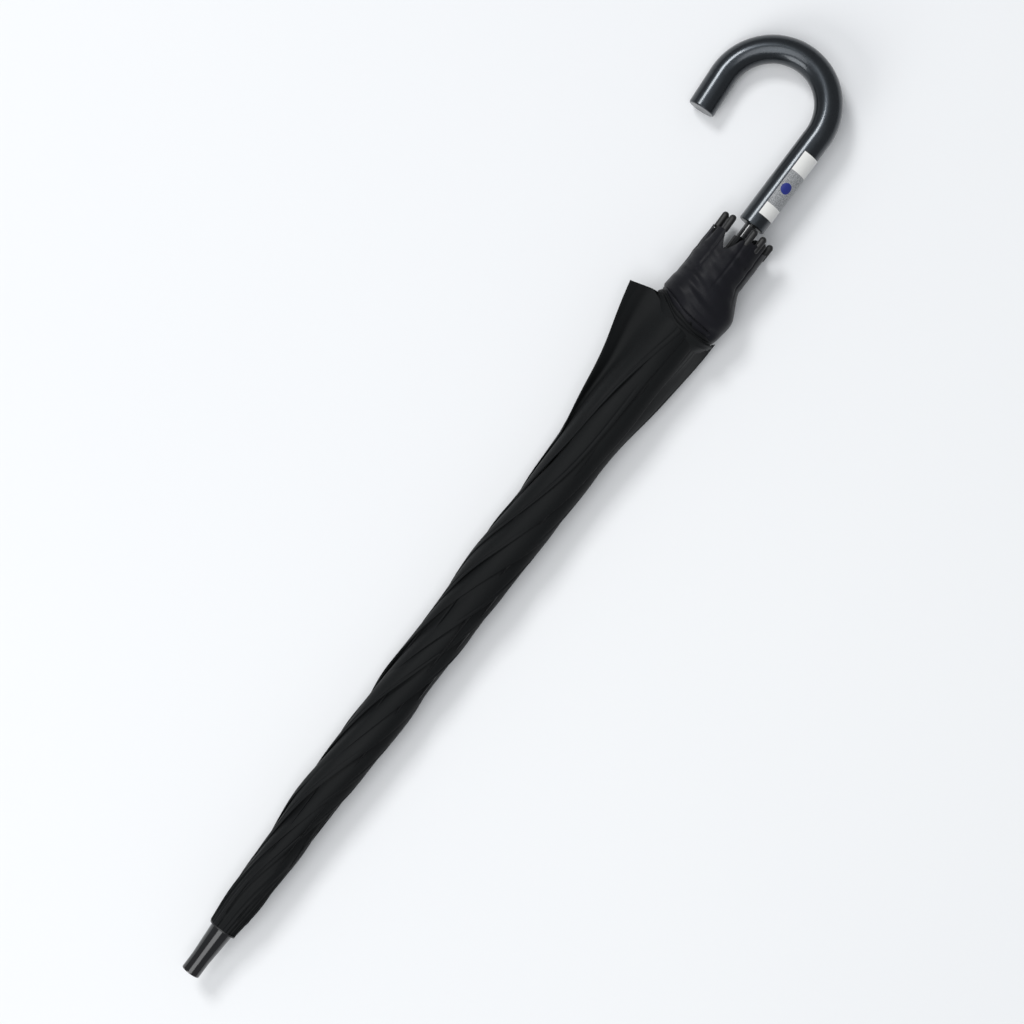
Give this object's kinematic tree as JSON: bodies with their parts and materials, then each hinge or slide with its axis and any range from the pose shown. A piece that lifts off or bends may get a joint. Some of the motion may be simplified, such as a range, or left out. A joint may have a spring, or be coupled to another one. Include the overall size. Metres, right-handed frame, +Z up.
{
  "type": "stick umbrella",
  "caption": "Furled stick umbrella with a crook handle; ribs, stretchers, runner and cloth panels open together as the runner slides up the shaft.",
  "frame": {"origin": "under the middle of the bounding box, on the surface that the umbrella lies on", "axes": "+X along the shaft from the ferrule to the handle, +Y to the side the crook opens to, +Z up"},
  "size_m": [0.903, 0.1411, 0.0533],
  "materials": {
    "shaft": "semi-gloss black tube",
    "ferrule": "glossy black",
    "rosette": "satin black",
    "crown": "matt black",
    "wire": "bright drawn wire",
    "runner": "matt black",
    "catch": "spring steel",
    "handle": "gunmetal gloss with a metallic flake",
    "label": "printed paper label",
    "cloth": "near-black woven polyester with a soft sheen",
    "rib": "black painted rib",
    "tip": "glossy black",
    "stretcher": "dark painted steel channel",
    "rivet": "steel"
  },
  "bodies": {
    "root": {"shaft": "shaft", "ferrule": "ferrule", "rosette": "rosette", "crown": "crown", "crown_wire": "wire", "handle": "handle", "handle_label": "label", "canopy": "cloth"},
    "runner": {"runner": "runner", "runner_wire": "wire"},
    "lower_catch": {"lower_catch": "catch"},
    "upper_catch": {"upper_catch": "catch"},
    "rib_1": {"rib_1": "rib", "rib_tip_1": "tip"},
    "stretcher_1": {"stretcher_1": "stretcher", "rivet_1": "rivet"},
    "gore_1": {"gore_1": "cloth"},
    "rib_2": {"rib_2": "rib", "rib_tip_2": "tip"},
    "stretcher_2": {"stretcher_2": "stretcher", "rivet_2": "rivet"},
    "gore_2": {"gore_2": "cloth"},
    "rib_3": {"rib_3": "rib", "rib_tip_3": "tip"},
    "stretcher_3": {"stretcher_3": "stretcher", "rivet_3": "rivet"},
    "gore_3": {"gore_3": "cloth"},
    "rib_4": {"rib_4": "rib", "rib_tip_4": "tip"},
    "stretcher_4": {"stretcher_4": "stretcher", "rivet_4": "rivet"},
    "gore_4": {"gore_4": "cloth"},
    "rib_5": {"rib_5": "rib", "rib_tip_5": "tip"},
    "stretcher_5": {"stretcher_5": "stretcher", "rivet_5": "rivet"},
    "gore_5": {"gore_5": "cloth"},
    "rib_6": {"rib_6": "rib", "rib_tip_6": "tip"},
    "stretcher_6": {"stretcher_6": "stretcher", "rivet_6": "rivet"},
    "gore_6": {"gore_6": "cloth"},
    "rib_7": {"rib_7": "rib", "rib_tip_7": "tip"},
    "stretcher_7": {"stretcher_7": "stretcher", "rivet_7": "rivet"},
    "gore_7": {"gore_7": "cloth"},
    "rib_8": {"rib_8": "rib", "rib_tip_8": "tip"},
    "stretcher_8": {"stretcher_8": "stretcher", "rivet_8": "rivet"},
    "gore_8": {"gore_8": "cloth"}
  },
  "joints": [
    {"name": "runner_slide", "type": "slide", "parent": "root", "child": "runner", "axis": [-1, 0, 0], "range_m": [0, 0.38979], "deforming": ["canopy", "gore_1", "gore_2", "gore_3", "gore_4", "gore_5", "gore_6", "gore_7", "gore_8"]},
    {"name": "rib_1_hinge", "type": "hinge", "parent": "root", "child": "rib_1", "pos_m": [-0.39555, -0.02557, 0.02762], "axis": [0, -0.1736, 0.9848], "range_deg": [0, 65.81]},
    {"name": "stretcher_1_hinge", "type": "hinge", "parent": "rib_1", "child": "stretcher_1", "pos_m": [-0.07562, -0.01897, 0.02878], "axis": [0, 0.1736, -0.9848], "range_deg": [0, 131.62]},
    {"name": "gore_1_hinge", "type": "hinge", "parent": "rib_1", "child": "gore_1", "pos_m": [-0.40501, -0.0231, 0.02805], "axis": [-0.2701, -0.8689, -0.4147], "range_deg": [0, 42.9]},
    {"name": "rib_2_hinge", "type": "hinge", "parent": "root", "child": "rib_2", "pos_m": [-0.39555, -0.02869, 0.03252], "axis": [0, -0.8192, 0.5736], "range_deg": [0, 65.81]},
    {"name": "stretcher_2_hinge", "type": "hinge", "parent": "rib_2", "child": "stretcher_2", "pos_m": [-0.07562, -0.02353, 0.03709], "axis": [0, 0.8192, -0.5736], "range_deg": [0, 131.62]},
    {"name": "gore_2_hinge", "type": "hinge", "parent": "rib_2", "child": "gore_2", "pos_m": [-0.40501, -0.02726, 0.03457], "axis": [-0.2708, -0.32, -0.9079], "range_deg": [0, 43.62]},
    {"name": "rib_3_hinge", "type": "hinge", "parent": "root", "child": "rib_3", "pos_m": [-0.39555, -0.03437, 0.03378], "axis": [0, -0.9848, -0.1736], "range_deg": [0, 65.81]},
    {"name": "stretcher_3_hinge", "type": "hinge", "parent": "rib_3", "child": "stretcher_3", "pos_m": [-0.07562, -0.03624, 0.04026], "axis": [0, 0.9848, 0.1736], "range_deg": [0, 131.62]},
    {"name": "gore_3_hinge", "type": "hinge", "parent": "rib_3", "child": "gore_3", "pos_m": [-0.40501, -0.03481, 0.03625], "axis": [-0.2699, 0.414, -0.8693], "range_deg": [0, 42.53]},
    {"name": "rib_4_hinge", "type": "hinge", "parent": "root", "child": "rib_4", "pos_m": [-0.39555, -0.03928, 0.03066], "axis": [0, -0.5736, -0.8192], "range_deg": [0, 65.81]},
    {"name": "stretcher_4_hinge", "type": "hinge", "parent": "rib_4", "child": "stretcher_4", "pos_m": [-0.07563, -0.04309, 0.03689], "axis": [0, 0.5736, 0.8192], "range_deg": [0, 131.62]},
    {"name": "gore_4_hinge", "type": "hinge", "parent": "rib_4", "child": "gore_4", "pos_m": [-0.40501, -0.04133, 0.03209], "axis": [-0.2722, 0.9057, -0.3251], "range_deg": [0, 43.19]},
    {"name": "rib_5_hinge", "type": "hinge", "parent": "root", "child": "rib_5", "pos_m": [-0.39555, -0.04054, 0.02498], "axis": [0, 0.1736, -0.9848], "range_deg": [0, 65.81]},
    {"name": "stretcher_5_hinge", "type": "hinge", "parent": "rib_5", "child": "stretcher_5", "pos_m": [-0.07563, -0.04764, 0.02669], "axis": [0, -0.1736, 0.9848], "range_deg": [0, 131.62]},
    {"name": "gore_5_hinge", "type": "hinge", "parent": "rib_5", "child": "gore_5", "pos_m": [-0.40501, -0.043, 0.02454], "axis": [-0.2721, 0.8702, 0.4107], "range_deg": [0, 43.23]},
    {"name": "rib_6_hinge", "type": "hinge", "parent": "root", "child": "rib_6", "pos_m": [-0.39555, -0.03741, 0.02007], "axis": [0, 0.8192, -0.5736], "range_deg": [0, 65.81]},
    {"name": "stretcher_6_hinge", "type": "hinge", "parent": "rib_6", "child": "stretcher_6", "pos_m": [-0.07563, -0.04349, 0.01615], "axis": [0, -0.8192, 0.5736], "range_deg": [0, 131.62]},
    {"name": "gore_6_hinge", "type": "hinge", "parent": "rib_6", "child": "gore_6", "pos_m": [-0.40501, -0.03885, 0.01802], "axis": [-0.2719, 0.3241, 0.9061], "range_deg": [0, 43.3]},
    {"name": "rib_7_hinge", "type": "hinge", "parent": "root", "child": "rib_7", "pos_m": [-0.39555, -0.03173, 0.01881], "axis": [0, 0.9848, 0.1736], "range_deg": [0, 65.81]},
    {"name": "stretcher_7_hinge", "type": "hinge", "parent": "rib_7", "child": "stretcher_7", "pos_m": [-0.07563, -0.0327, 0.01184], "axis": [0, -0.9848, -0.1736], "range_deg": [0, 131.62]},
    {"name": "gore_7_hinge", "type": "hinge", "parent": "rib_7", "child": "gore_7", "pos_m": [-0.40501, -0.0313, 0.01635], "axis": [-0.2712, -0.4144, 0.8687], "range_deg": [0, 43.59]},
    {"name": "rib_8_hinge", "type": "hinge", "parent": "root", "child": "rib_8", "pos_m": [-0.39555, -0.02683, 0.02194], "axis": [0, 0.5736, 0.8192], "range_deg": [0, 65.81]},
    {"name": "stretcher_8_hinge", "type": "hinge", "parent": "rib_8", "child": "stretcher_8", "pos_m": [-0.07562, -0.02134, 0.01809], "axis": [0, -0.5736, -0.8192], "range_deg": [0, 131.62]},
    {"name": "gore_8_hinge", "type": "hinge", "parent": "rib_8", "child": "gore_8", "pos_m": [-0.40501, -0.02478, 0.0205], "axis": [-0.2698, -0.9084, 0.3194], "range_deg": [0, 43.19]},
    {"name": "lower_catch_slide", "type": "slide", "parent": "root", "child": "lower_catch", "axis": [0, 0, -1], "range_m": [0, 0.0016], "stiffness_N_per_m": 800, "springref_m": 0.0016},
    {"name": "upper_catch_slide", "type": "slide", "parent": "root", "child": "upper_catch", "axis": [0, 0, -1], "range_m": [0, 0.0016], "stiffness_N_per_m": 800, "springref_m": 0.0016}
  ],
  "couplings": [
    {"joint": "rib_1_hinge", "follows": "runner_slide", "rad_per_m": 2.9463},
    {"joint": "stretcher_1_hinge", "follows": "runner_slide", "rad_per_m": 5.8925},
    {"joint": "gore_1_hinge", "follows": "runner_slide", "rad_per_m": 1.9203},
    {"joint": "rib_2_hinge", "follows": "runner_slide", "rad_per_m": 2.9463},
    {"joint": "stretcher_2_hinge", "follows": "runner_slide", "rad_per_m": 5.8925},
    {"joint": "gore_2_hinge", "follows": "runner_slide", "rad_per_m": 1.9527},
    {"joint": "rib_3_hinge", "follows": "runner_slide", "rad_per_m": 2.9463},
    {"joint": "stretcher_3_hinge", "follows": "runner_slide", "rad_per_m": 5.8925},
    {"joint": "gore_3_hinge", "follows": "runner_slide", "rad_per_m": 1.9037},
    {"joint": "rib_4_hinge", "follows": "runner_slide", "rad_per_m": 2.9463},
    {"joint": "stretcher_4_hinge", "follows": "runner_slide", "rad_per_m": 5.8925},
    {"joint": "gore_4_hinge", "follows": "runner_slide", "rad_per_m": 1.9336},
    {"joint": "rib_5_hinge", "follows": "runner_slide", "rad_per_m": 2.9463},
    {"joint": "stretcher_5_hinge", "follows": "runner_slide", "rad_per_m": 5.8925},
    {"joint": "gore_5_hinge", "follows": "runner_slide", "rad_per_m": 1.9352},
    {"joint": "rib_6_hinge", "follows": "runner_slide", "rad_per_m": 2.9463},
    {"joint": "stretcher_6_hinge", "follows": "runner_slide", "rad_per_m": 5.8925},
    {"joint": "gore_6_hinge", "follows": "runner_slide", "rad_per_m": 1.9382},
    {"joint": "rib_7_hinge", "follows": "runner_slide", "rad_per_m": 2.9463},
    {"joint": "stretcher_7_hinge", "follows": "runner_slide", "rad_per_m": 5.8925},
    {"joint": "gore_7_hinge", "follows": "runner_slide", "rad_per_m": 1.9514},
    {"joint": "rib_8_hinge", "follows": "runner_slide", "rad_per_m": 2.9463},
    {"joint": "stretcher_8_hinge", "follows": "runner_slide", "rad_per_m": 5.8925},
    {"joint": "gore_8_hinge", "follows": "runner_slide", "rad_per_m": 1.9336}
  ]
}
